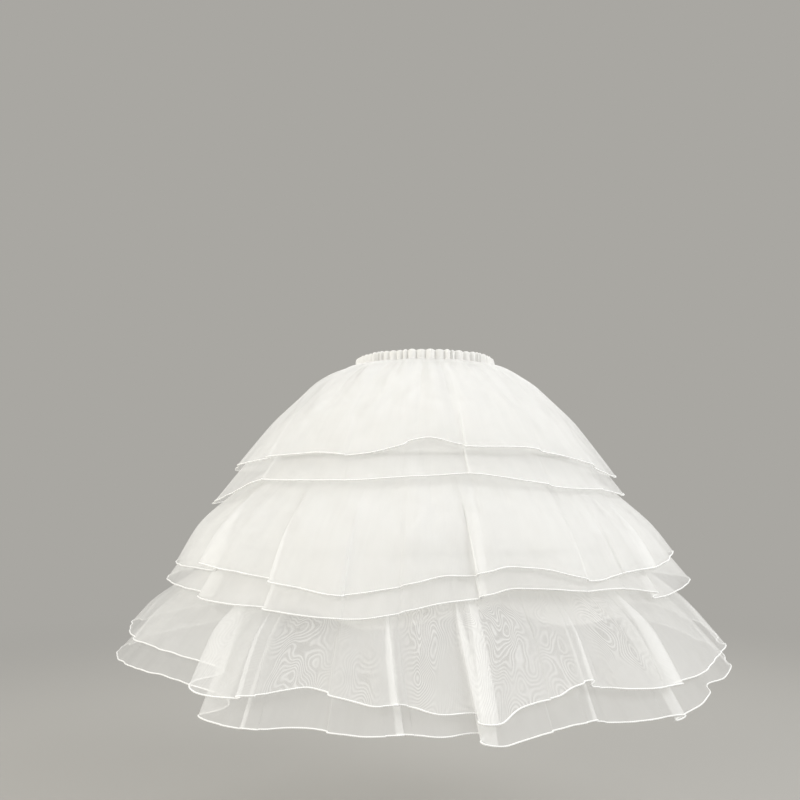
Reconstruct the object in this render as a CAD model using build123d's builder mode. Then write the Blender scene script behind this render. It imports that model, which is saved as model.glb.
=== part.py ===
"""Three-tier organza petticoat with an elastic waist, in millimetres.

The origin is the centre of the waist opening, +Z is up and -Y is the front. Each tier is a pair of
gathered flounce layers, and a nylon hem cord stiffens the edge of every layer.
"""

import os
from math import cos, pi, radians, sin

from build123d import *

# Waist: a gathered casing round a flat elastic
WAIST_RADIUS = 105
BAND_HEIGHT = 24
CASING_DEPTH = 13
GATHER_DEPTH = 1.5
GATHERS = 30
CHANNEL_SETBACK = 3.5
CHANNEL_DEPTH = 2.6
CHANNEL_MARGIN = 3.5
ELASTIC_CLEARANCE = 0.3

# Skirt: mean radius of the lowest hem, and its drop below the waistband
SKIRT_RADIUS = 480
SKIRT_DROP = 456

# Cloth and trimmings
FABRIC = 1.2
LINING_SETBACK = 3.2
SEWING_ROOM = 3.4
CORD_WIDTH = 3
CORD_HEIGHT = 3
TAPE_HEIGHT = 8
TAPE_MARGIN = 3

# Folds start at the closing seam, which is right of the front as the wearer is seen
SEAM_ANGLE = 8.5
STATIONS_PER_FOLD = 4
FOLD_DROP = 4

# How far each tier's hem rises at the front and back and dips at the sides
TIER_1_SWAY = 12
TIER_2_SWAY = 2
TIER_3_SWAY = -8
HEM_SWAYS = {"lining": 0, "tier_1": TIER_1_SWAY, "tier_2": TIER_2_SWAY, "tier_3": TIER_3_SWAY}

# Profiles of the lining and of each layer, as (radius, drop) shares between waist and lowest hem
LINING_SHARES = ((0.168, 0.127), (0.291, None), (0.459, None), (0.597, 0.816))
LAYER_SHARES = {
    "tier_1_upper": ((0.203, 0.058), (0.379, 0.189), (0.520, 0.342)),
    "tier_1_lower": ((0.181, 0.082), (0.363, 0.206), (0.568, 0.421)),
    "tier_2_upper": ((0.349, 0.320), (0.520, 0.421), (0.659, 0.540), (0.760, 0.671)),
    "tier_2_lower": ((0.333, 0.320), (0.504, 0.439), (0.640, 0.557), (0.808, 0.741)),
    "tier_3_upper": ((0.539, 0.614), (0.701, 0.719), (0.851, 0.816), (0.963, 0.923)),
    "tier_3_lower": ((0.520, 0.614), (0.680, 0.737), (0.819, 0.838), (1.0, 1.0)),
}

# Fold depths as shares of the radius, and fold widths as shares of the right and left half rings
FOLD_DEPTH_SHARES = {"lining": 0.012, "tier_1": 0.012, "tier_2": 0.022, "tier_3": 0.03}
TIER_1_FOLD_SHARES = ((0.19, 0.17, 0.20, 0.23, 0.21), (0.20, 0.22, 0.21, 0.20, 0.17))
FOLD_WIDTH_SHARES = {
    "lining": TIER_1_FOLD_SHARES,
    "tier_1": TIER_1_FOLD_SHARES,
    "tier_2": (
        (0.13, 0.12, 0.14, 0.16, 0.17, 0.15, 0.13),
        (0.14, 0.15, 0.17, 0.16, 0.14, 0.13, 0.11),
    ),
    "tier_3": (
        (0.10, 0.10, 0.12, 0.14, 0.16, 0.14, 0.13, 0.11),
        (0.14, 0.15, 0.15, 0.14, 0.13, 0.11, 0.10, 0.08),
    ),
}

BAND_BOTTOM = -BAND_HEIGHT / 2
LINING_TOP_RADIUS = WAIST_RADIUS + LINING_SETBACK
WAIST_TOP_RADII = {
    "tier_1_upper": LINING_TOP_RADIUS + SEWING_ROOM * 2,
    "tier_1_lower": LINING_TOP_RADIUS + SEWING_ROOM,
}


def skirt_radius(share):
    """Radius at a share of the way from the waist to the lowest hem."""
    return WAIST_RADIUS + (SKIRT_RADIUS - WAIST_RADIUS) * share


def skirt_height(share):
    """Height at a share of the drop from the waistband to the lowest hem."""
    return BAND_BOTTOM - SKIRT_DROP * share


def seam_height(tier):
    """Height of the gathered top of one of the two lower tiers."""
    return skirt_height(LAYER_SHARES[tier + "_upper"][0][1])


def lining_profile():
    """(radius, height) points of the lining. It bends at the top of each gathering tape."""
    tape_tops = [seam_height(tier) + TAPE_HEIGHT for tier in ("tier_2", "tier_3")]
    points = [(LINING_TOP_RADIUS, BAND_BOTTOM)]
    for radius_share, drop_share in LINING_SHARES:
        height = tape_tops.pop(0) if drop_share is None else skirt_height(drop_share)
        points.append((skirt_radius(radius_share), height))
    return points


def layer_profile(name):
    """Mean (radius, height) points of a flounce layer, from its gathered top to its hem."""
    points = [(skirt_radius(r), skirt_height(d)) for r, d in LAYER_SHARES[name]]
    if name in WAIST_TOP_RADII:
        points.insert(0, (WAIST_TOP_RADII[name], BAND_BOTTOM))
    return points


def radial_plane(angle):
    """Upright plane through the axis, at an angle from the front towards +X, with its x outwards."""
    across = radians(angle - 90)
    return Plane(
        origin=(0, 0, 0),
        x_dir=(cos(across), sin(across), 0),
        z_dir=(sin(across), -cos(across), 0),
    )


def fold_stations(tier):
    """(angle, wave) pairs round the ring: wave is -1 in a trough and 1 on a crest."""
    stations = []
    for half, widths in enumerate(FOLD_WIDTH_SHARES[tier]):
        angle = SEAM_ANGLE + 180 * half
        for width in widths:
            span = 180 * width / sum(widths)
            for step in range(STATIONS_PER_FOLD):
                turn = step / STATIONS_PER_FOLD
                stations.append((angle + span * turn, -cos(2 * pi * turn)))
            angle += span
    return stations


def along(start, end, share):
    """The point a share of the way from start to end, or past end where the share is over 1."""
    return start[0] + (end[0] - start[0]) * share, start[1] + (end[1] - start[1]) * share


def folded_line(profile, tier, angle, wave, extra=0):
    """A profile's points in one radial plane, with its fold and its hem's own length plus some extra."""
    *points, hem = profile
    rise = HEM_SWAYS[tier] * cos(2 * radians(angle)) - FOLD_DROP * wave
    depth = points[-1][1] - hem[1]
    points.append(along(points[-1], hem, (depth - rise + extra) / depth))
    swell = 1 + FOLD_DEPTH_SHARES[tier] * wave
    return [(radius * swell, height) for radius, height in points]


def sheet_outline(profile, tier, angle, wave):
    """Closed outline of cloth that hangs below a profile, with a level top edge."""
    line = folded_line(profile, tier, angle, wave)
    (top_radius, top_height), (next_radius, next_height) = line[:2]
    set_back = FABRIC * (next_radius - top_radius) / (top_height - next_height)
    under = [(radius, height - FABRIC) for radius, height in line[1:]]
    return [*line, *reversed(under), (top_radius - set_back, top_height)]


def cord_outline(profile, tier, angle, wave):
    """Closed outline of a hem cord that carries on from the cut edge of the cloth."""
    inner_radius, inner_height = folded_line(profile, tier, angle, wave)[-1]
    outer_radius, outer_height = folded_line(profile, tier, angle, wave, CORD_WIDTH)[-1]
    lift = (CORD_HEIGHT - FABRIC) / 2
    return [
        (inner_radius, inner_height + lift),
        (outer_radius, outer_height + lift),
        (outer_radius, outer_height + lift - CORD_HEIGHT),
        (inner_radius, inner_height + lift - CORD_HEIGHT),
    ]


def tape_outline(profile, tier, angle, wave):
    """Closed outline of the gathering tape that holds a tier's top edges to the lining."""
    folded = folded_line(profile, "lining", angle, wave)
    bottom = seam_height(tier)
    top = bottom + TAPE_HEIGHT
    reach = skirt_radius(LAYER_SHARES[tier + "_upper"][0][0]) * (1 + FOLD_DEPTH_SHARES[tier])
    edge = reach + TAPE_MARGIN
    return [(radius_on(folded, top), top), (edge, top), (edge, bottom), (radius_on(folded, bottom), bottom)]


def radius_on(line, height):
    """Radius of a line of points at a height."""
    for upper, lower in zip(line, line[1:]):
        if lower[1] <= height <= upper[1]:
            return along(upper, lower, (upper[1] - height) / (upper[1] - lower[1]))[0]
    return line[-1][0]


def ruled_ring(outline, profile, tier, folds_of):
    """Closed ring of cloth, ruled in flat facets from each radial outline to the next."""
    outlines = []
    for angle, wave in fold_stations(folds_of):
        plane = radial_plane(angle)
        outlines.append([plane.from_local_coords(point) for point in outline(profile, tier, angle, wave)])
    facets = []
    for here, there in zip(outlines, outlines[1:] + outlines[:1]):
        for i in range(len(here)):
            corners = [here[i - 1], here[i], there[i], there[i - 1]]
            facets.append(Face(Wire.make_polygon(corners, close=True)))
    add(Solid(Shell(facets)))


def ring_points(radius):
    """Corners of a ring with one flat for each gather."""
    turns = [2 * pi * step / GATHERS for step in range(GATHERS)]
    return [(radius * cos(turn), radius * sin(turn)) for turn in turns]


os.makedirs("parts", exist_ok=True)

# Waistband casing: gathered outside, plain inside, with a closed channel for the elastic
CASING_RADIUS = WAIST_RADIUS + CASING_DEPTH
CHANNEL_INNER = WAIST_RADIUS + CHANNEL_SETBACK
CHANNEL_OUTER = CHANNEL_INNER + CHANNEL_DEPTH
with BuildPart() as casing:
    with BuildSketch(Plane.XY.offset(BAND_BOTTOM)):
        with BuildLine():
            gather_points = []
            for step in range(GATHERS * 4):
                turn = 2 * pi * step / (GATHERS * 4)
                reach = CASING_RADIUS + GATHER_DEPTH * (1 if step % 4 < 2 else -1)
                gather_points.append((reach * cos(turn), reach * sin(turn)))
            Polyline(*gather_points, close=True)
        make_face()
        Circle(WAIST_RADIUS, mode=Mode.SUBTRACT)
    extrude(amount=BAND_HEIGHT)
    with BuildSketch(Plane.XY.offset(BAND_BOTTOM + CHANNEL_MARGIN)):
        Polygon(*ring_points(CHANNEL_OUTER), align=None)
        Polygon(*ring_points(CHANNEL_INNER), align=None, mode=Mode.SUBTRACT)
    extrude(amount=BAND_HEIGHT - 2 * CHANNEL_MARGIN, mode=Mode.SUBTRACT)
casing.part.label = "waistband_casing"
export_step(casing.part, "parts/waistband_casing.step")

# Flat elastic in the channel
with BuildPart() as elastic:
    with BuildSketch(Plane.XY.offset(BAND_BOTTOM + CHANNEL_MARGIN + ELASTIC_CLEARANCE)):
        Polygon(*ring_points(CHANNEL_OUTER - ELASTIC_CLEARANCE), align=None)
        Polygon(*ring_points(CHANNEL_INNER + ELASTIC_CLEARANCE), align=None, mode=Mode.SUBTRACT)
    extrude(amount=BAND_HEIGHT - 2 * CHANNEL_MARGIN - 2 * ELASTIC_CLEARANCE)
elastic.part.label = "waist_elastic"
export_step(elastic.part, "parts/waist_elastic.step")

# Lining: the underskirt that carries the two lower tiers
with BuildPart() as lining:
    ruled_ring(sheet_outline, lining_profile(), "lining", "lining")
lining.part.label = "lining"
export_step(lining.part, "parts/lining.step")

# Gathering tapes: each holds the gathered tops of one tier against the lining
for tier in ("tier_2", "tier_3"):
    with BuildPart() as tape:
        ruled_ring(tape_outline, lining_profile(), tier, "lining")
    tape.part.label = tier + "_gathering_tape"
    export_step(tape.part, f"parts/{tier}_gathering_tape.step")

# Flounce layers, and the cord in the hem of each
for layer_name in LAYER_SHARES:
    tier = layer_name.rsplit("_", 1)[0]
    with BuildPart() as layer:
        ruled_ring(sheet_outline, layer_profile(layer_name), tier, tier)
    layer.part.label = layer_name + "_layer"
    export_step(layer.part, f"parts/{layer_name}_layer.step")

    with BuildPart() as cord:
        ruled_ring(cord_outline, layer_profile(layer_name), tier, tier)
    cord.part.label = layer_name + "_hem_cord"
    export_step(cord.part, f"parts/{layer_name}_hem_cord.step")
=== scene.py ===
from math import pi, radians

import bpy
import numpy as np
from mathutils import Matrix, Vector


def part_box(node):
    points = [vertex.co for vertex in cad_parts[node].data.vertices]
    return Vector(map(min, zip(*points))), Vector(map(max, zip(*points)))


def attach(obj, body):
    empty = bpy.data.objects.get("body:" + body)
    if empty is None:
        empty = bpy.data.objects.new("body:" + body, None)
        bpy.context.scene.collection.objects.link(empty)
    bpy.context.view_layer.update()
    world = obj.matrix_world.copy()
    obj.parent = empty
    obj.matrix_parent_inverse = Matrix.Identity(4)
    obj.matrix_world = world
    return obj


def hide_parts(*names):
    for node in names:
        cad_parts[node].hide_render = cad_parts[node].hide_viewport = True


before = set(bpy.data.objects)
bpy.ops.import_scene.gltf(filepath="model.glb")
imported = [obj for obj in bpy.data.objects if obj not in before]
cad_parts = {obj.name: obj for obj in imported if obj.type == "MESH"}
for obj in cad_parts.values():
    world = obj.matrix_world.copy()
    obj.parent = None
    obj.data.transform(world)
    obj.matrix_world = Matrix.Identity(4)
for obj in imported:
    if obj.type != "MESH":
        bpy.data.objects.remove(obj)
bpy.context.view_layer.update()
bpy.ops.object.select_all(action="DESELECT")

# Waist elastic: a flat knitted band of rubber yarn and white polyester, about 16 mm wide.
# It is shut inside the casing and pulls it in round the waist. The CAD node keeps its shape.


def linear(colour):
    """Linear red, green, blue and alpha of an sRGB hex colour."""
    parts = [int(colour[i : i + 2], 16) / 255 for i in (1, 3, 5)]
    return [c / 12.92 if c <= 0.04045 else ((c + 0.055) / 1.055) ** 2.4 for c in parts] + [1.0]


def bare_material(name):
    """A material with no nodes yet."""
    material = bpy.data.materials.new(name)
    material.use_nodes = True
    material.node_tree.nodes.clear()
    return material


def add_node(material, kind, sockets=None, **settings):
    """A node with its settings, and its sockets set to values or linked to other nodes' outputs."""
    node = material.node_tree.nodes.new(kind)
    for key, value in settings.items():
        setattr(node, key, value)
    for key, value in (sockets or {}).items():
        if isinstance(value, bpy.types.NodeSocket):
            material.node_tree.links.new(value, node.inputs[key])
        else:
            node.inputs[key].default_value = value
    return node


def wave_scale(spacing):
    """The scale at which a wave texture's bands lie this far apart, in metres."""
    return 2 * pi / (20 * spacing)


# Knitted elastic: matt, off-white, with upright ribs 1.6 mm apart that its rubber yarns make.
knitted_elastic = bare_material("knitted_elastic")
place = add_node(knitted_elastic, "ShaderNodeTexCoord")
ribs = add_node(
    knitted_elastic,
    "ShaderNodeTexWave",
    {"Vector": place.outputs["Object"], "Scale": wave_scale(0.0016)},
)
rib_tone = add_node(knitted_elastic, "ShaderNodeValToRGB", {"Fac": ribs.outputs["Fac"]})
rib_tone.color_ramp.elements[0].color = linear("#DEDCD5")
rib_tone.color_ramp.elements[1].color = linear("#F3F2EE")
rib_bump = add_node(
    knitted_elastic, "ShaderNodeBump", {"Height": ribs.outputs["Fac"], "Distance": 0.0004}
)
band_shader = add_node(
    knitted_elastic,
    "ShaderNodeBsdfPrincipled",
    {
        "Base Color": rib_tone.outputs["Color"],
        "Roughness": 0.8,
        "Normal": rib_bump.outputs["Normal"],
    },
)
add_node(knitted_elastic, "ShaderNodeOutputMaterial", {"Surface": band_shader.outputs["BSDF"]})
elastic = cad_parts["waist_elastic"]
elastic.data.materials.clear()
elastic.data.materials.append(knitted_elastic)

# Waistband casing: a tube of the same organza as the tiers, turned over twice and stitched shut.
# The elastic bunches it into about sixty soft upright puckers of uneven width, and a line of
# stitches pulls it in near its lower edge.


def spread(name, points, material, round_too=False, joined=True):
    """A sheet of quads from a grid of points in millimetres, rows down and columns round the skirt.

    Its UV map is in metres: across along the last row, and down along the columns. A sheet that
    isn't joined has two free sides.
    """
    rows, columns = points.shape[:2]
    around = np.concatenate([points[-1], points[-1][:1]])
    across = np.concatenate([[0], np.cumsum(np.linalg.norm(np.diff(around, axis=0), axis=1))]) / 1000
    looped = np.concatenate([points, points[:1]]) if round_too else points
    steps = np.linalg.norm(np.diff(looped, axis=0), axis=2).mean(axis=1)
    down = np.concatenate([[0], np.cumsum(steps)]) / 1000
    bands = np.arange(len(looped) - 1)
    strips = np.arange(columns if joined else columns - 1)
    i, j = (grid.ravel() for grid in np.meshgrid(bands, strips, indexing="ij"))
    here, below = i * columns, (i + 1) % rows * columns
    beside = (j + 1) % columns
    faces = np.stack([here + j, below + j, below + beside, here + beside], 1)
    mesh = bpy.data.meshes.new(name)
    mesh.from_pydata((points.reshape(-1, 3) / 1000).tolist(), [], faces.tolist())
    left, right, upper, under = across[j], across[j + 1], -down[i], -down[i + 1]
    corners = np.stack([left, upper, left, under, right, under, right, upper], 1)
    mesh.uv_layers.new(name="cloth").data.foreach_set("uv", corners.ravel())
    mesh.shade_smooth()
    mesh.materials.append(material)
    piece = bpy.data.objects.new(name, mesh)
    bpy.context.collection.objects.link(piece)
    return piece, (across[-1], down[-1])


def puckers(angle, count, seed):
    """Rounded puffs of uneven width and height round the skirt, with a crease between each two."""
    chance = np.random.default_rng(seed)
    widths = chance.uniform(0.55, 1.6, count)
    creases = np.concatenate([[0], np.cumsum(widths)]) / widths.sum() * 2 * pi
    heights = chance.uniform(0.45, 1.0, count)
    turn = (angle + pi) % (2 * pi)
    puff = np.clip(np.searchsorted(creases, turn, side="right") - 1, 0, count - 1)
    share = (turn - creases[puff]) / (creases[puff + 1] - creases[puff])
    return heights[puff] * np.sin(pi * share)


def gathered_tube(name, inner, outer, low, high, count, puff, steps, material):
    """A tube of bunched cloth round the skirt, with a stitch line that pulls it in low outside.

    The puckers are deep on its outside, shallower over its edges and slight on its inside.
    """
    angle = np.linspace(-pi, pi, count * steps, endpoint=False)[None, :]
    turn = np.linspace(0, 2 * pi, 2 * steps, endpoint=False)[:, None]
    side, rise = np.cos(turn), np.sin(turn)
    squareness = 0.6
    ring = (inner + outer) / 2 + (outer - inner) / 2 * np.sign(side) * np.abs(side) ** squareness
    level = (low + high) / 2 + (high - low) / 2 * np.sign(rise) * np.abs(rise) ** squareness
    stitch_place = -0.62
    stitch_spread = 0.16
    stitch_depth = 1.1
    stitch_hold = 0.6
    drawn_in = np.exp(-(((rise - stitch_place) / stitch_spread) ** 2)) * (side > 0)
    edge_share = 0.42
    inside_share = 0.15
    folds = puckers(angle, count, count)
    depth = np.where(side > 0, puff, inside_share * puff)
    ring = ring + depth * (folds - 1) * side * (1 - stitch_hold * drawn_in) - stitch_depth * drawn_in
    level = level + edge_share * puff * (folds - 1) * rise
    points = np.stack([ring * np.sin(angle), -ring * np.cos(angle), level + 0 * angle], axis=2)
    return spread(name, points[::-1], material, round_too=True)


# Folded organza: several layers of one sheer polyester weave, so near white and soft, with light in
# its creases. The weave is 0.2 mm and too fine to show, so its threads are drawn 1.2 mm apart.
folded_organza = bare_material("folded_organza")
cloth_map = add_node(folded_organza, "ShaderNodeUVMap", uv_map="cloth")
threads = add_node(
    folded_organza,
    "ShaderNodeTexWave",
    {
        "Vector": cloth_map.outputs["UV"],
        "Scale": wave_scale(0.0012),
        "Distortion": 1.0,
        "Detail": 1.0,
    },
)
crush = add_node(
    folded_organza,
    "ShaderNodeTexNoise",
    {"Vector": cloth_map.outputs["UV"], "Scale": 160.0, "Detail": 4.0},
)
# Painted shade: the cloth is coloured a little darker where its crush lies low, in the hollows of its
# bumps, and lighter on their tops.
crush_shade = add_node(folded_organza, "ShaderNodeValToRGB", {"Fac": crush.outputs["Fac"]})
crush_shade.color_ramp.elements[0].color = linear("#F3F2EF")
crush_shade.color_ramp.elements[1].color = linear("#FBFBF9")
crush_bump = add_node(
    folded_organza,
    "ShaderNodeBump",
    {"Height": crush.outputs["Fac"], "Distance": 0.0012, "Strength": 0.5},
)
thread_bump = add_node(
    folded_organza,
    "ShaderNodeBump",
    {
        "Height": threads.outputs["Fac"],
        "Distance": 0.0001,
        "Normal": crush_bump.outputs["Normal"],
    },
)
folded_face = add_node(
    folded_organza,
    "ShaderNodeBsdfPrincipled",
    {
        "Base Color": crush_shade.outputs["Color"],
        "Roughness": 0.55,
        "Normal": thread_bump.outputs["Normal"],
    },
)
folded_back = add_node(folded_organza, "ShaderNodeBsdfTranslucent", {"Color": linear("#F9F9F7")})
folded_body = add_node(
    folded_organza,
    "ShaderNodeMixShader",
    {"Fac": 0.35, 1: folded_face.outputs["BSDF"], 2: folded_back.outputs["BSDF"]},
)
add_node(folded_organza, "ShaderNodeOutputMaterial", {"Surface": folded_body.outputs["Shader"]})

casing, casing_cut = gathered_tube(
    "waistband_tube",
    inner=105.5,
    outer=118.5,
    low=-12,
    high=12,
    count=62,
    puff=6.0,
    steps=15,
    material=folded_organza,
)
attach(casing, "root")
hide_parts("waistband_casing")

# Lining: an A-line underskirt of white cotton voile, cut close to the body and sewn in at the waist.
# Its lower edge shows as a pale curved edge through the last tier.


def bell_line(corners):
    """Radius and height along a layer's line, in 2 mm steps, through its corners with eased bends.

    The line runs straight on past both ends, so that a tuck or a longer hem can use it.
    """
    corners = np.array(corners, float)
    along = np.concatenate([[0], np.cumsum(np.hypot(*np.diff(corners, axis=0).T))])
    step = 2.0
    before, after = 60, 140
    steps = np.arange(-before, along[-1] + after, step)
    bend = 16
    ease = np.hanning(2 * bend + 1)
    ease = ease / ease.sum()
    run_on = step * np.arange(1, bend + 1)
    line = []
    for values in corners.T:
        first = (values[1] - values[0]) / (along[1] - along[0])
        last = (values[-1] - values[-2]) / (along[-1] - along[-2])
        raw = np.interp(steps, along, values)
        raw = raw + np.where(steps < 0, steps * first, 0)
        raw = raw + np.where(steps > along[-1], (steps - along[-1]) * last, 0)
        padded = np.concatenate([raw[0] - first * run_on[::-1], raw, raw[-1] + last * run_on])
        line.append(np.convolve(padded, ease, mode="valid"))
    return steps, line[0], line[1]


def round_the_skirt(angle, pairs, ease=2.0):
    """Values given at some angles, in degrees, carried round the skirt with their corners eased."""
    degrees, values = np.array(sorted(pairs), float).T
    step = 0.25
    fine = np.arange(-180, 180, step)
    raw = np.interp(fine, degrees, values, period=360)
    width = int(ease / step) * 2 + 1
    bell = np.hanning(width + 2)[1:-1]
    bell = bell / bell.sum()
    wrapped = np.concatenate([raw[-width:], raw, raw[:width]])
    eased = np.convolve(wrapped, bell, mode="same")[width:-width]
    return np.interp(np.degrees(angle), fine, eased, period=360)


def smooth_step(share):
    """A share from 0 to 1 with its start and its end eased."""
    share = np.clip(share, 0, 1)
    return share * share * (3 - 2 * share)


def hang_cloth(corners, tier, hem, columns, rows, seed, room=None):
    """Points of one layer of cloth, down its bell line to its own hem, and how flat it lies at each.

    A fold is its place and slant in degrees, its width and depth in millimetres, and its lap: past
    about 1 the cloth overlaps itself. A pinch is its place in degrees, its width and height in
    millimetres, its middle and length as shares of the drop, and its slant in radians.
    Layers of one tier share their gathers, waves and folds by height, so they nest. An under layer,
    which is given its room below the upper one in millimetres, has shallower folds and is set in at
    each, so it stays clear.
    """
    chance = np.random.default_rng(seed)
    angle = np.linspace(-pi, pi, columns, endpoint=False)[None, :]
    steps, radii, heights = bell_line(corners)
    start = tier.get("tuck", 0.0)
    end = np.interp(-round_the_skirt(angle, hem, tier["hem_ease"]), -heights, steps)
    share = np.linspace(0, 1, rows)[:, None]
    along = -start + (end + start) * share
    radius, level = np.interp(along, steps, radii), np.interp(along, steps, heights)
    drop = (tier["top"] - level) / (tier["top"] - tier["foot"])
    open_out = smooth_step(drop / tier["opens_by"])
    slack = np.clip(along, 0, None) / tier["gather_fade"]
    onset = 12
    drawn_up = smooth_step((along + start) / onset) * np.exp(-slack)
    gathers = puckers(angle, tier["gathers"], seed=tier["gathers"]) - 0.5
    flutes = puckers(angle, tier["gathers"] // 3, seed=1) - 0.4
    flutes = flutes * puckers(angle, count=11, seed=2)
    ripple = tier["gather_depth"] * gathers * drawn_up
    ripple = ripple + tier["flute_depth"] * flutes * slack / 2 * np.exp(1 - slack / 2)
    radius = radius * (1 + round_the_skirt(angle, tier["waves"], ease=6) * open_out) + ripple
    side_step, flat = np.zeros_like(radius), np.ones_like(radius)
    crest = 1.3
    fold_reach = 2.2
    clearance = 2
    for degrees, slant, width, depth, lap in tier["folds"]:
        centre = radians(degrees) + radians(slant) * (1 - np.clip(drop, 0, 1.1))
        off = (angle - centre + pi) % (2 * pi) - pi
        off = off * radius / width
        side_step = side_step - lap * width * off * np.exp(-(off**2)) * open_out
        flat = flat * (1 - np.exp(-((off / fold_reach) ** 2)))
        if room is not None:
            set_in = max(0, 1.2 * abs(depth) + clearance - room)
            depth = depth / 2
            radius = radius - set_in * np.exp(-((off / 2) ** 2)) * open_out
        bulge = off / crest
        radius = radius + depth * bulge * np.exp(-(bulge**2) / 2) * open_out
    creases = [(radians(degrees), *shape) for degrees, *shape in tier.get("pinches", [])]
    for _ in range(tier["creases"]):
        place = chance.uniform(-pi, pi)
        width = chance.uniform(7, 20)
        height = chance.uniform(-2.4, 2.4)
        middle = chance.uniform(0.35, 1.05)
        length = chance.uniform(0.12, 0.4)
        slant = chance.uniform(-0.12, 0.12)
        creases.append((place, width, height, middle, length, slant))
    for place, width, height, middle, length, slant in creases:
        off = (angle - place - slant * (share - middle) + pi) % (2 * pi) - pi
        off = off * radius / width
        radius = radius + height * np.exp(-(off**2) - ((share - middle) / length) ** 2)
    flutter_depth = 0.5
    flutter_reach = 16
    flutter = np.sin(47 * angle + 1.1 * seed) + 0.7 * np.sin(71 * angle + 2.3 * seed)
    radius = radius + flutter_depth * flutter * np.exp(-(end - along) / flutter_reach)
    angle = angle + side_step / radius
    return np.stack([radius * np.sin(angle), -radius * np.cos(angle), level], axis=2), flat


# Cotton voile: a plain, closely woven white cloth that hardly shows light, matt, with a soft uneven
# thread. Its threads are drawn 1.4 mm apart, coarser than the real 0.25 mm, so that they show.
cotton_voile = bare_material("cotton_voile")
cloth_map = add_node(cotton_voile, "ShaderNodeUVMap", uv_map="cloth")
voile_threads = {
    "Vector": cloth_map.outputs["UV"],
    "Scale": wave_scale(0.0014),
    "Distortion": 1.5,
    "Detail": 2.0,
}
warp = add_node(cotton_voile, "ShaderNodeTexWave", voile_threads)
weft = add_node(cotton_voile, "ShaderNodeTexWave", voile_threads, bands_direction="Y")
weave = add_node(
    cotton_voile,
    "ShaderNodeMath",
    {0: warp.outputs["Fac"], 1: weft.outputs["Fac"]},
    operation="MULTIPLY",
)
voile_tone = add_node(cotton_voile, "ShaderNodeValToRGB", {"Fac": weave.outputs["Value"]})
voile_tone.color_ramp.elements[0].color = linear("#F3F2F0")
voile_tone.color_ramp.elements[1].color = linear("#FAFAF8")
voile_bump = add_node(
    cotton_voile, "ShaderNodeBump", {"Height": weave.outputs["Value"], "Distance": 0.0001}
)
voile_face = add_node(
    cotton_voile,
    "ShaderNodeBsdfPrincipled",
    {
        "Base Color": voile_tone.outputs["Color"],
        "Roughness": 0.85,
        "Normal": voile_bump.outputs["Normal"],
    },
)
voile_back = add_node(cotton_voile, "ShaderNodeBsdfTranslucent", {"Color": linear("#F7F6F4")})
voile_body = add_node(
    cotton_voile,
    "ShaderNodeMixShader",
    {"Fac": 0.25, 1: voile_face.outputs["BSDF"], 2: voile_back.outputs["BSDF"]},
)
voile_gaps = add_node(cotton_voile, "ShaderNodeBsdfTransparent")
voile_cover = add_node(
    cotton_voile,
    "ShaderNodeMapRange",
    {"Value": weave.outputs["Value"], "To Min": 0.86, "To Max": 0.97},
)
voile_sheet = add_node(
    cotton_voile,
    "ShaderNodeMixShader",
    {
        "Fac": voile_cover.outputs["Result"],
        1: voile_gaps.outputs["BSDF"],
        2: voile_body.outputs["Shader"],
    },
)
add_node(cotton_voile, "ShaderNodeOutputMaterial", {"Surface": voile_sheet.outputs["Shader"]})

lining_shape = {
    "top": -12,
    "foot": -384,
    "opens_by": 1.0,
    "tuck": 3.0,
    "gathers": 58,
    "gather_depth": 1.6,
    "flute_depth": 2.0,
    "gather_fade": 60,
    "hem_ease": 4.0,
    "waves": [(d, 0.012 if n % 2 else -0.012) for n, d in enumerate(range(-180, 180, 20))],
    "folds": [(8.5, 0, 12, 3, 0.4), (-70, 0, 16, 4, 0.5), (95, 0, 16, -4, 0.5), (-150, 0, 14, 4, 0.5)],
    "creases": 30,
}
lining_points, _ = hang_cloth(
    [(108.2, -12), (168, -70), (214, -150), (277, -284), (329, -384)],
    lining_shape,
    [
        (-170, -386), (-140, -372), (-100, -386), (-60, -374), (-40, -366), (-28, -372),
        (-15, -391), (-6, -388), (2, -378), (10, -370), (19, -360), (27, -383), (33, -393),
        (45, -395), (60, -394), (80, -384), (110, -374), (140, -387), (165, -373),
    ],
    columns=720,
    rows=60,
    seed=1,
)
lining, lining_cut = spread("lining_skirt", lining_points, cotton_voile)
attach(lining, "root")
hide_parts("lining")

# Gathering tapes: narrow cotton tapes sewn round the lining, which hold the tops of tiers 2 and 3.
# Seen from below each is a puckered roll of organza, with a line of stitches along it.
for name, node, count, width in (
    ("tier_2_gathers", "tier_2_gathering_tape", 96, 20.5),
    ("tier_3_gathers", "tier_3_gathering_tape", 118, 22.5),
):
    low, high = (np.array(corner) * 1000 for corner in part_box(node))
    roll, roll_cut = gathered_tube(
        name,
        inner=high[0] - width,
        outer=high[0],
        low=low[2],
        high=high[2],
        count=count,
        puff=2.4,
        steps=9,
        material=folded_organza,
    )
    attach(roll, "root")
    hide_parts(node)

# Tier 1, upper layer: the short top flounce of sheer white organza, gathered into the waistband.
# It spreads over the hips in soft broad waves, and its edge is finished with a corded rolled hem.

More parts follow.
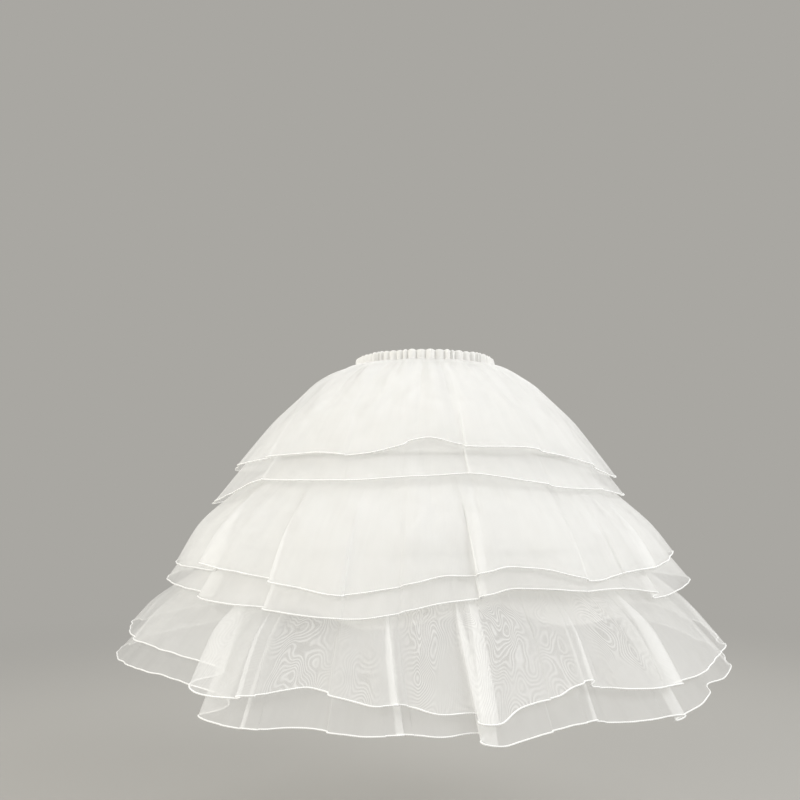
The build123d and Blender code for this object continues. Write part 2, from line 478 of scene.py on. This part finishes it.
# Organza: a crisp sheer weave of fine polyester. Near a hem one layer lets more than half the light
# through, so folds and doubled cloth look whiter, and so does the cloth where it is drawn up full
# towards its gathers. The gathering leaves faint upright pleats about 16 mm apart and soft dents
# 60 mm across. Where two layers cross a little askew their threads give watered rings 5 mm apart.
# The threads are drawn 2 mm apart, coarser than the real 0.2 mm, so that they show.
organza = bare_material("organza")
cloth_map = add_node(organza, "ShaderNodeUVMap", uv_map="cloth")
watered = add_node(organza, "ShaderNodeAttribute", attribute_name="watered")
fullness = add_node(organza, "ShaderNodeAttribute", attribute_name="fullness")
threads = add_node(
    organza,
    "ShaderNodeTexWave",
    {"Vector": cloth_map.outputs["UV"], "Scale": wave_scale(0.002), "Distortion": 2.0},
)
upright = add_node(
    organza, "ShaderNodeMapping", {"Vector": cloth_map.outputs["UV"], "Scale": (1.0, 0.1, 1.0)}
)
pleats = add_node(
    organza,
    "ShaderNodeTexNoise",
    {"Vector": upright.outputs["Vector"], "Scale": 1 / 0.016, "Detail": 2.0},
)
dents = add_node(
    organza,
    "ShaderNodeTexNoise",
    {"Vector": cloth_map.outputs["UV"], "Scale": 1 / 0.06, "Detail": 1.0},
)
stretched = add_node(
    organza, "ShaderNodeMapping", {"Vector": cloth_map.outputs["UV"], "Scale": (1.0, 0.6, 1.0)}
)
drift = add_node(
    organza,
    "ShaderNodeTexNoise",
    {"Vector": stretched.outputs["Vector"], "Scale": 1 / 0.05, "Detail": 1.2},
)
ring_turns = 210.0
turns = add_node(
    organza,
    "ShaderNodeMath",
    {0: drift.outputs["Fac"], 1: ring_turns},
    operation="MULTIPLY",
)
rings = add_node(organza, "ShaderNodeMath", {0: turns.outputs["Value"]}, operation="SINE")
patches = add_node(
    organza,
    "ShaderNodeTexNoise",
    {"Vector": cloth_map.outputs["UV"], "Scale": 1 / 0.11, "Detail": 0.0},
)
ring_strength = add_node(
    organza,
    "ShaderNodeMapRange",
    {"Value": patches.outputs["Fac"], "From Min": 0.34, "From Max": 0.48, "To Max": 0.18},
)
ring_strength = add_node(
    organza,
    "ShaderNodeMath",
    {0: ring_strength.outputs["Result"], 1: watered.outputs["Fac"]},
    operation="MULTIPLY",
)
cover = add_node(
    organza,
    "ShaderNodeMapRange",
    {
        "Value": pleats.outputs["Fac"],
        "From Min": 0.3,
        "From Max": 0.7,
        "To Min": 0.34,
        "To Max": 0.36,
    },
)
added_by_fullness = 0.4
cover = add_node(
    organza,
    "ShaderNodeMath",
    {0: fullness.outputs["Fac"], 1: added_by_fullness, 2: cover.outputs["Result"]},
    operation="MULTIPLY_ADD",
)
cover = add_node(
    organza,
    "ShaderNodeMath",
    {0: rings.outputs["Value"], 1: ring_strength.outputs["Value"], 2: cover.outputs["Value"]},
    operation="MULTIPLY_ADD",
)
dent_bump = add_node(
    organza, "ShaderNodeBump", {"Height": dents.outputs["Fac"], "Distance": 0.016, "Strength": 0.8}
)
pleat_bump = add_node(
    organza,
    "ShaderNodeBump",
    {
        "Height": pleats.outputs["Fac"],
        "Distance": 0.0025,
        "Strength": 0.06,
        "Normal": dent_bump.outputs["Normal"],
    },
)
thread_bump = add_node(
    organza,
    "ShaderNodeBump",
    {
        "Height": threads.outputs["Fac"],
        "Distance": 0.0001,
        "Normal": pleat_bump.outputs["Normal"],
    },
)
# Painted shade: the organza is coloured a little darker where its soft dents lie deep, as shade in
# their hollows.
dent_shade = add_node(organza, "ShaderNodeValToRGB", {"Fac": dents.outputs["Fac"]})
dent_shade.color_ramp.elements[0].color = linear("#F9F9F7")
dent_shade.color_ramp.elements[1].color = linear("#FDFDFC")
organza_face = add_node(
    organza,
    "ShaderNodeBsdfPrincipled",
    {
        "Base Color": dent_shade.outputs["Color"],
        "Roughness": 0.42,
        "Sheen Weight": 0.4,
        "Sheen Roughness": 0.4,
        "Normal": thread_bump.outputs["Normal"],
    },
)
organza_back = add_node(
    organza,
    "ShaderNodeBsdfTranslucent",
    {"Color": linear("#FBFBFA"), "Normal": thread_bump.outputs["Normal"]},
)
organza_body = add_node(
    organza,
    "ShaderNodeMixShader",
    {"Fac": 0.4, 1: organza_face.outputs["BSDF"], 2: organza_back.outputs["BSDF"]},
)
organza_gaps = add_node(organza, "ShaderNodeBsdfTransparent")
organza_sheet = add_node(
    organza,
    "ShaderNodeMixShader",
    {
        "Fac": cover.outputs["Value"],
        1: organza_gaps.outputs["BSDF"],
        2: organza_body.outputs["Shader"],
    },
)
add_node(organza, "ShaderNodeOutputMaterial", {"Surface": organza_sheet.outputs["Shader"]})

# Rolled hem: the edge turned tightly over a clear line and bound with close white thread, so solid
# and bright. Its binding stitches are 2.4 mm apart.
rolled_hem = bare_material("rolled_hem")
cloth_map = add_node(rolled_hem, "ShaderNodeUVMap", uv_map="cloth")
binding = add_node(
    rolled_hem,
    "ShaderNodeTexWave",
    {"Vector": cloth_map.outputs["UV"], "Scale": wave_scale(0.0024), "Distortion": 0.8},
)
binding_tone = add_node(rolled_hem, "ShaderNodeValToRGB", {"Fac": binding.outputs["Fac"]})
binding_tone.color_ramp.elements[0].color = linear("#EBEBE8")
binding_tone.color_ramp.elements[1].color = linear("#F4F4F2")
binding_bump = add_node(
    rolled_hem, "ShaderNodeBump", {"Height": binding.outputs["Fac"], "Distance": 0.00015}
)
hem_face = add_node(
    rolled_hem,
    "ShaderNodeBsdfPrincipled",
    {
        "Base Color": binding_tone.outputs["Color"],
        "Roughness": 0.5,
        "Sheen Weight": 0.1,
        "Normal": binding_bump.outputs["Normal"],
    },
)
add_node(rolled_hem, "ShaderNodeOutputMaterial", {"Surface": hem_face.outputs["BSDF"]})


def roll_hem(name, edge):
    """A round hem along a closed edge of points in millimetres."""
    thickness = 2.1
    ahead = np.roll(edge, -1, axis=0) - np.roll(edge, 1, axis=0)
    ahead = ahead / np.linalg.norm(ahead, axis=1)[:, None]
    out = np.cross(ahead, (0, 0, 1))
    out = out / np.linalg.norm(out, axis=1)[:, None]
    up = np.cross(out, ahead)
    turn = np.linspace(0, 2 * pi, 6, endpoint=False)[:, None, None]
    points = edge[None] + thickness / 2 * (np.cos(turn) * out[None] + np.sin(turn) * up[None])
    return spread(name, points, rolled_hem, round_too=True)[0]


def sew_layer(name, hung, seam, falls, watering=0.0):
    """One layer with its hem: the sheet, with its closing seam inside, and its rolled edge.

    The fullness of the sheet falls off to its hem by a power. The seam, given by its two sides in
    degrees, has an allowance of two more thicknesses of organza, puckered by its stitches.
    """
    points, flat = hung
    layer, cut = spread(name + "_organza", points, organza)
    full = np.linspace(1, 0, len(points))[:, None] ** falls
    for attribute, values in (("fullness", full), ("watered", watering * flat)):
        level = layer.data.attributes.new(attribute, "FLOAT", "POINT")
        level.data.foreach_set("value", np.broadcast_to(values, points.shape[:2]).ravel())
    first, last = (round((degrees + 180) / 360 * points.shape[1]) for degrees in seam)
    pucker_length = 11
    pucker_depth = 0.7
    down = np.arange(len(points)) * cut[1] * 1000 / len(points)
    stitches = np.sin(pi * down / pucker_length)[:, None] ** 2
    bpy.ops.object.select_all(action="DESELECT")
    for depth in (1.2, 2.2):
        allowance = points[:, first : last + 1].copy()
        pulled = depth + pucker_depth * stitches
        allowance[..., :2] *= (1 - pulled / np.hypot(allowance[..., 0], allowance[..., 1]))[..., None]
        spread(name + "_seam", allowance, organza, joined=False)[0].select_set(True)
    layer.select_set(True)
    bpy.context.view_layer.objects.active = layer
    bpy.ops.object.join()
    hem = roll_hem(name + "_rolled_hem", points[-1])
    for piece, replaced, slot in (
        (layer, name + "_layer", "organza"),
        (hem, name + "_hem_cord", "hem_cord"),
    ):
        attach(piece, "root")
        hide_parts(replaced)


tier_1 = {
    "top": -12,
    "foot": -204,
    "opens_by": 0.8,
    "tuck": 5.0,
    "gathers": 62,
    "gather_depth": 9.0,
    "flute_depth": 10.0,
    "gather_fade": 34,
    "hem_ease": 7.0,
    "waves": [
        (-160, 0.0), (-135, 0.02), (-110, 0.0), (-80, 0.035), (-58, 0.01), (-45, 0.02),
        (-29, -0.005), (-14, 0.012), (0, -0.01), (9, 0.0), (20, 0.015), (34, -0.005),
        (48, 0.005), (70, 0.0), (92, 0.0), (115, 0.0), (138, 0.025), (160, 0.0), (180, 0.015),
    ],
    "folds": [
        (11, 0, 11, 5, 1.2), (-48, -8, 22, 9, 1.0), (-20, -6, 18, -6, 0.7), (-6, 2, 12, 3, 0.6),
        (33, 5, 20, -5, 0.7), (54, 6, 24, -6, 0.8), (-72, -4, 14, 5, 1.1), (84, 4, 15, -5, 1.0),
        (108, 3, 13, 5, 0.8), (131, -3, 16, -6, 1.0), (155, 4, 12, 4, 0.8),
        (178, -4, 15, 6, 1.0), (-157, 4, 13, -5, 0.9), (-130, 3, 15, 5, 0.9),
        (-102, -4, 13, 5, 0.8),
    ],
    "pinches": [
        (-30, 10, 10, 0.2, 0.16, 0.0), (-24, 10, -5, 0.25, 0.18, 0.0),
        (-11, 8, 6, 0.12, 0.12, 0.05), (22, 12, 6, 0.16, 0.15, 0.0),
        (30, 10, -4, 0.2, 0.2, 0.05), (-50, 12, 6, 0.22, 0.2, -0.05),
        (52, 14, 6, 0.25, 0.22, 0.05), (74, 10, -4, 0.2, 0.18, 0.0),
        (-78, 11, 6, 0.2, 0.2, 0.0), (-42, 15, 7, 0.6, 0.12, 0.5),
        (-16, 13, 5, 0.55, 0.16, -0.35), (27, 16, 6, 0.55, 0.15, 0.45),
        (44, 15, 6, 0.66, 0.13, -0.4), (3, 12, 5, 0.42, 0.15, 0.25),
        (-60, 14, 6, 0.5, 0.16, 0.3), (101, 12, 4, 0.18, 0.2, 0.0),
        (127, 10, 4, 0.22, 0.2, 0.05), (152, 13, -4, 0.2, 0.2, 0.0),
        (176, 10, 4, 0.16, 0.16, 0.0), (-158, 12, 4, 0.22, 0.2, 0.0),
        (-133, 9, -4, 0.2, 0.18, 0.0), (-106, 12, 4, 0.18, 0.2, 0.05),
    ],
    "creases": 70,
}
tier_1_seam = (11.8, 12.8)
tier_1_falls = 0.7
hung = hang_cloth(
    [(117.5, -4.5), (141, -9.5), (181, -33), (247, -97), (300, -168)],
    tier_1,
    [
        (-150, -168), (-125, -164), (-105, -174), (-86, -177), (-56, -163), (-29, -156),
        (-20, -163), (-12, -157), (1, -134), (11, -151), (29, -149), (41, -159), (49, -168),
        (70, -190), (95, -182), (120, -168), (145, -160), (165, -166), (-175, -158),
    ],
    columns=1080,
    rows=40,
    seed=2,
)
sew_layer("tier_1_upper", hung, tier_1_seam, tier_1_falls)

# Tier 1, lower layer: the longer under flounce of the top tier, sewn into the same waistband seam.
# Its own hem shows about 40 mm below the upper one, and hangs lower still at the left side.
hung = hang_cloth(
    [(112.4, -9.5), (140, -24), (173, -49), (241, -106), (318, -204)],
    {**tier_1, "tuck": 0.0, "pinches": []},
    [
        (-155, -196), (-130, -204), (-110, -216), (-95, -228), (-82, -232), (-70, -227),
        (-61, -211), (-52, -191), (-42, -195), (-16, -196), (-7, -192), (6, -189), (11, -185),
        (21, -193), (39, -207), (55, -208), (70, -218), (95, -212), (120, -203), (150, -197),
        (175, -203),
    ],
    columns=1080,
    rows=44,
    seed=3,
    room=9,
)
sew_layer("tier_1_lower", hung, tier_1_seam, tier_1_falls)

# Tier 2, upper layer: a flounce gathered to the lining at the hips, under the hem of tier 1.
# It falls in a few long folds, and laps over itself at each side of the front.
tier_2 = {
    "top": -158,
    "foot": -348,
    "opens_by": 0.75,
    "gathers": 92,
    "gather_depth": 3.0,
    "flute_depth": 6.0,
    "gather_fade": 22,
    "hem_ease": 3.5,
    "waves": [
        (-165, 0.01), (-140, -0.015), (-115, 0.015), (-95, 0.01), (-77, 0.03), (-60, -0.005),
        (-45, 0.02), (-30, -0.01), (-14, 0.02), (4, -0.015), (16, -0.01), (33, 0.02),
        (45, -0.005), (56, 0.02), (74, 0.058), (95, 0.02), (118, -0.01), (140, 0.02),
        (162, -0.015),
    ],
    "folds": [
        (-49, -8, 28, 17, 2.5), (-30, -3, 16, 8, 1.5), (-14, -2, 16, -8, 0.9),
        (-4, -1, 12, 5, 0.7), (10.2, -2.2, 11, 9, 1.6), (31, 3, 18, -8, 1.0),
        (53, 5, 24, -15, 2.4), (42, 2, 13, 5, 0.8), (88, 3, 14, -8, 1.4), (112, 2, 18, 10, 1.8),
        (139, -3, 14, -7, 1.3), (166, 2, 20, 11, 1.9), (-170, -2, 13, 7, 1.3),
        (-145, 3, 18, -10, 1.8), (-118, -3, 14, 8, 1.4), (-92, 2, 16, 8, 1.5),
    ],
    "pinches": [(-82, 70, 9, 0.65, 0.3, 0.0)],
    "creases": 70,
}
tier_2_seam = (11.1, 12.1)
tier_2_falls = 0.5
hung = hang_cloth(
    [(236, -158), (300, -204), (352, -258), (390, -318)],
    tier_2,
    [
        (-155, -318), (-130, -330), (-105, -316), (-81, -323), (-54, -322), (-48, -309),
        (-31, -324), (-14, -338), (-5, -327), (4, -313), (8.5, -317), (12, -310), (15, -304),
        (24, -309), (30, -323), (35, -327), (45, -318), (52, -317), (58, -321), (66, -312),
        (74, -304), (86, -312), (95, -318), (115, -330), (135, -320), (158, -312), (180, -326),
    ],
    columns=1260,
    rows=36,
    seed=4,
)
sew_layer("tier_2_upper", hung, tier_2_seam, tier_2_falls)

# Tier 2, lower layer: the same flounce cut longer, gathered into the same tape.
# It nests inside the upper layer's folds, and its hem shows about 30 mm lower.
hung = hang_cloth(
    [(230, -158), (293, -213), (341, -266), (408, -350)],
    tier_2,
    [
        (-172, -352), (-150, -362), (-122, -350), (-100, -344), (-77, -347), (-54, -351),
        (-47, -355), (-34, -357), (-11, -364), (-3, -354), (2.6, -345), (10, -342),
        (15.6, -330), (25.6, -334), (30, -339), (37, -338), (45, -342), (51, -354),
        (56, -360), (63, -352), (74, -346), (95, -354), (118, -362), (140, -350), (165, -344),
    ],
    columns=1260,
    rows=40,
    seed=5,
    room=5.5,
)
sew_layer("tier_2_lower", hung, tier_2_seam, tier_2_falls)

# Tier 3, upper layer: the widest flounce, gathered to the lining at mid-thigh.
# Sharp overlapping folds run down it, and watered rings show where it lies over the lower layer.
tier_3 = {
    "top": -292,
    "foot": -468,
    "opens_by": 0.6,
    "gathers": 118,
    "gather_depth": 3.0,
    "flute_depth": 6.0,
    "gather_fade": 22,
    "hem_ease": 2.0,
    "waves": [
        (-170, 0.015), (-150, -0.015), (-128, 0.02), (-106, 0.0), (-80, 0.038), (-64, 0.03),
        (-48, -0.01), (-28, 0.012), (-17, -0.015), (-7, 0.01), (2, 0.01), (12, 0.02),
        (24, -0.02), (33, 0.015), (43, 0.02), (55, -0.002), (70, 0.004), (92, -0.005),
        (112, 0.015), (133, -0.015), (155, 0.02),
    ],
    "folds": [
        (-32.7, -8, 36, 24, 2.4), (-24.8, -5, 10, 8, 2.5), (-13, -3, 10, 4, 1.0),
        (-3.4, -5, 10, -8, 2.5), (7.3, -2.4, 10.5, 10, 2.6), (24.4, 4, 12, -9, 1.7),
        (38.8, 5, 22, -16, 2.3), (17, 2, 9, 4, 1.2), (-22.6, -5, 5, 3, 1.7), (-27, -5, 5, 2, 1.4),
        (-1.4, -5, 5, -3, 1.7), (-5.4, -4, 5, -2, 1.4), (22.3, 4, 5, -3, 1.6),
        (26.4, 4, 5, -2, 1.4), (34.4, 5, 8, -4, 1.9), (70, 4, 15, -8, 1.5), (94, 3, 17, -11, 2.0),
        (119, 2, 20, 12, 2.1), (147, -4, 15, -9, 1.7), (171, 3, 22, 13, 2.1),
        (-161, -3, 16, 10, 1.9), (-136, 3, 18, -11, 2.0), (-110, -4, 15, 9, 1.7),
        (-86, 3, 18, 10, 1.9), (-62, -4, 13, 6, 1.2),
    ],
    "creases": 80,
}
tier_3_seam = (8.2, 9.4)
tier_3_falls = 5.0
hung = hang_cloth(
    [(307, -292), (368, -340), (424, -384), (466, -433)],
    tier_3,
    [
        (-165, -436), (-145, -424), (-125, -438), (-105, -430), (-78, -420), (-53, -422),
        (-37.5, -429), (-31.5, -443), (-28, -451), (-17, -435), (-7, -448), (-4, -444),
        (2, -455), (6.6, -454), (9, -465), (12, -451), (14.4, -448), (19, -444), (24.4, -430),
        (26, -442), (30.4, -445), (36, -446), (41, -450), (60, -443), (72, -440), (95, -436),
        (112, -426), (130, -440), (150, -430), (172, -444),
    ],
    columns=1800,
    rows=36,
    seed=6,
)
across, ahead, height = np.moveaxis(hung[0], 2, 0)
tier_2_edge = -335
edge_fade = 35
clear_of_tier_2 = smooth_step((tier_2_edge - height) / edge_fade)
panels = [(-112, 1), (-98, 0), (-39, 0), (-33, 1), (36, 1), (41, 0), (98, 0), (112, 1)]
watering = clear_of_tier_2 * round_the_skirt(np.arctan2(across, -ahead), panels)
sew_layer("tier_3_upper", hung, tier_3_seam, tier_3_falls, watering)

# Tier 3, lower layer: the longest layer, with the lowest hem of the skirt.
# Below the upper layer's edge it is a single sheer strip about 40 mm deep, pinched in at the right.
hung = hang_cloth(
    [(300, -292), (360, -348), (412, -394), (480, -468)],
    {**tier_3, "pinches": [(54.5, 28, -15, 1.0, 0.4, 0.0)]},
    [
        (-160, -470), (-140, -462), (-118, -474), (-98, -466), (-79, -464), (-63, -456),
        (-48, -453), (-37.5, -459), (-31.5, -478), (-26, -483), (-16, -476), (-8, -479),
        (-3, -475), (2, -478), (6.8, -474), (9.2, -487), (13.6, -481), (18.4, -477),
        (24, -474), (27, -480), (35, -479), (39, -488), (43, -482), (48, -475), (53, -474),
        (60, -472), (67, -471), (76, -466), (95, -472), (115, -464), (135, -476), (155, -468),
        (177, -480),
    ],
    columns=1800,
    rows=40,
    seed=7,
    room=16,
)
sew_layer("tier_3_lower", hung, tier_3_seam, tier_3_falls)

# Floor: a plain pale grey studio floor well below the hem, because the skirt hangs from the waist.
# Away from the skirt it fades into the backdrop, which is the same pale grey.
bpy.ops.mesh.primitive_circle_add(vertices=96, radius=7.0, fill_type="NGON", location=(0, 0, -0.86))
bpy.ops.object.transform_apply()
floor = bpy.context.object
floor.name = "floor"
pale_grey = linear("#A9A7A2")
matt_floor = bare_material("matt_floor")
place = add_node(matt_floor, "ShaderNodeTexCoord")
reach = add_node(
    matt_floor, "ShaderNodeVectorMath", {0: place.outputs["Object"]}, operation="LENGTH"
)
fade = add_node(
    matt_floor,
    "ShaderNodeMapRange",
    {"Value": reach.outputs["Value"], "From Min": 1.4, "From Max": 3.4},
    interpolation_type="SMOOTHSTEP",
)
floor_face = add_node(matt_floor, "ShaderNodeBsdfDiffuse", {"Color": pale_grey})
floor_far = add_node(matt_floor, "ShaderNodeEmission", {"Color": pale_grey, "Strength": 1.0})
floor_all = add_node(
    matt_floor,
    "ShaderNodeMixShader",
    {"Fac": fade.outputs["Result"], 1: floor_face.outputs["BSDF"], 2: floor_far.outputs["Emission"]},
)
add_node(matt_floor, "ShaderNodeOutputMaterial", {"Surface": floor_all.outputs["Shader"]})
floor.data.materials.append(matt_floor)

# Studio: the backdrop as the camera, a gloss or a clear material sees it, and even white light from
# all round.
studio = bpy.data.worlds.new("studio")
studio.use_nodes = True
studio.node_tree.nodes.clear()
ray = add_node(studio, "ShaderNodeLightPath")
seen = add_node(
    studio,
    "ShaderNodeMath",
    {0: ray.outputs["Is Camera Ray"], 1: ray.outputs["Is Glossy Ray"]},
    operation="MAXIMUM",
)
seen = add_node(
    studio,
    "ShaderNodeMath",
    {0: seen.outputs["Value"], 1: ray.outputs["Is Transmission Ray"]},
    operation="MAXIMUM",
)
backdrop = add_node(studio, "ShaderNodeBackground", {"Color": pale_grey, "Strength": 1.0})
ambient = add_node(studio, "ShaderNodeBackground", {"Color": linear("#FFFFFF"), "Strength": 0.58})
sky = add_node(
    studio,
    "ShaderNodeMixShader",
    {
        "Fac": seen.outputs["Value"],
        1: ambient.outputs["Background"],
        2: backdrop.outputs["Background"],
    },
)
add_node(studio, "ShaderNodeOutputWorld", {"Surface": sky.outputs["Shader"]})
bpy.context.scene.world = studio

# Light: a large soft key from the upper right of the front, a slightly warm fill from the left, a
# soft top, and a weaker soft lamp behind, so that the back isn't left dull. All face the skirt.
skirt_middle = np.array((0, 0, -0.25))
for name, place, power, size, colour in (
    ("key", (2.5, -1.35, 1.3), 71, 1.8, "#FFFFFF"),
    ("fill", (-2.5, -1.35, 0.75), 62, 1.8, "#FFFCF5"),
    ("top", (0.2, 0.4, 2.4), 14, 2.0, "#FFFFFF"),
    ("back", (0.3, 2.7, 1.3), 22, 2.0, "#FFFFFF"),
):
    bpy.ops.object.light_add(type="AREA", location=place)
    lamp = bpy.context.object
    lamp.name = name
    lamp.data.energy = power
    lamp.data.size = size
    lamp.data.color = linear(colour)[:3]
    away = np.array(place) - skirt_middle
    lamp.rotation_euler = (
        float(np.arctan2(np.hypot(away[0], away[1]), away[2])),
        0,
        float(np.arctan2(away[1], away[0]) + pi / 2),
    )

# Camera: level, at hip height, with the picture shifted so that the skirt sits low in it and a
# little right of its middle.
bpy.ops.object.camera_add(location=(0, -1.364, -0.209), rotation=(pi / 2, 0, 0))
camera = bpy.context.object
camera.data.sensor_width = 36
camera.data.lens = 36.09
camera.data.shift_x = -0.03125
camera.data.shift_y = 0.1125
bpy.context.scene.camera = camera
bpy.context.scene.view_settings.view_transform = "Standard"
bpy.context.scene.cycles.transparent_max_bounces = 48
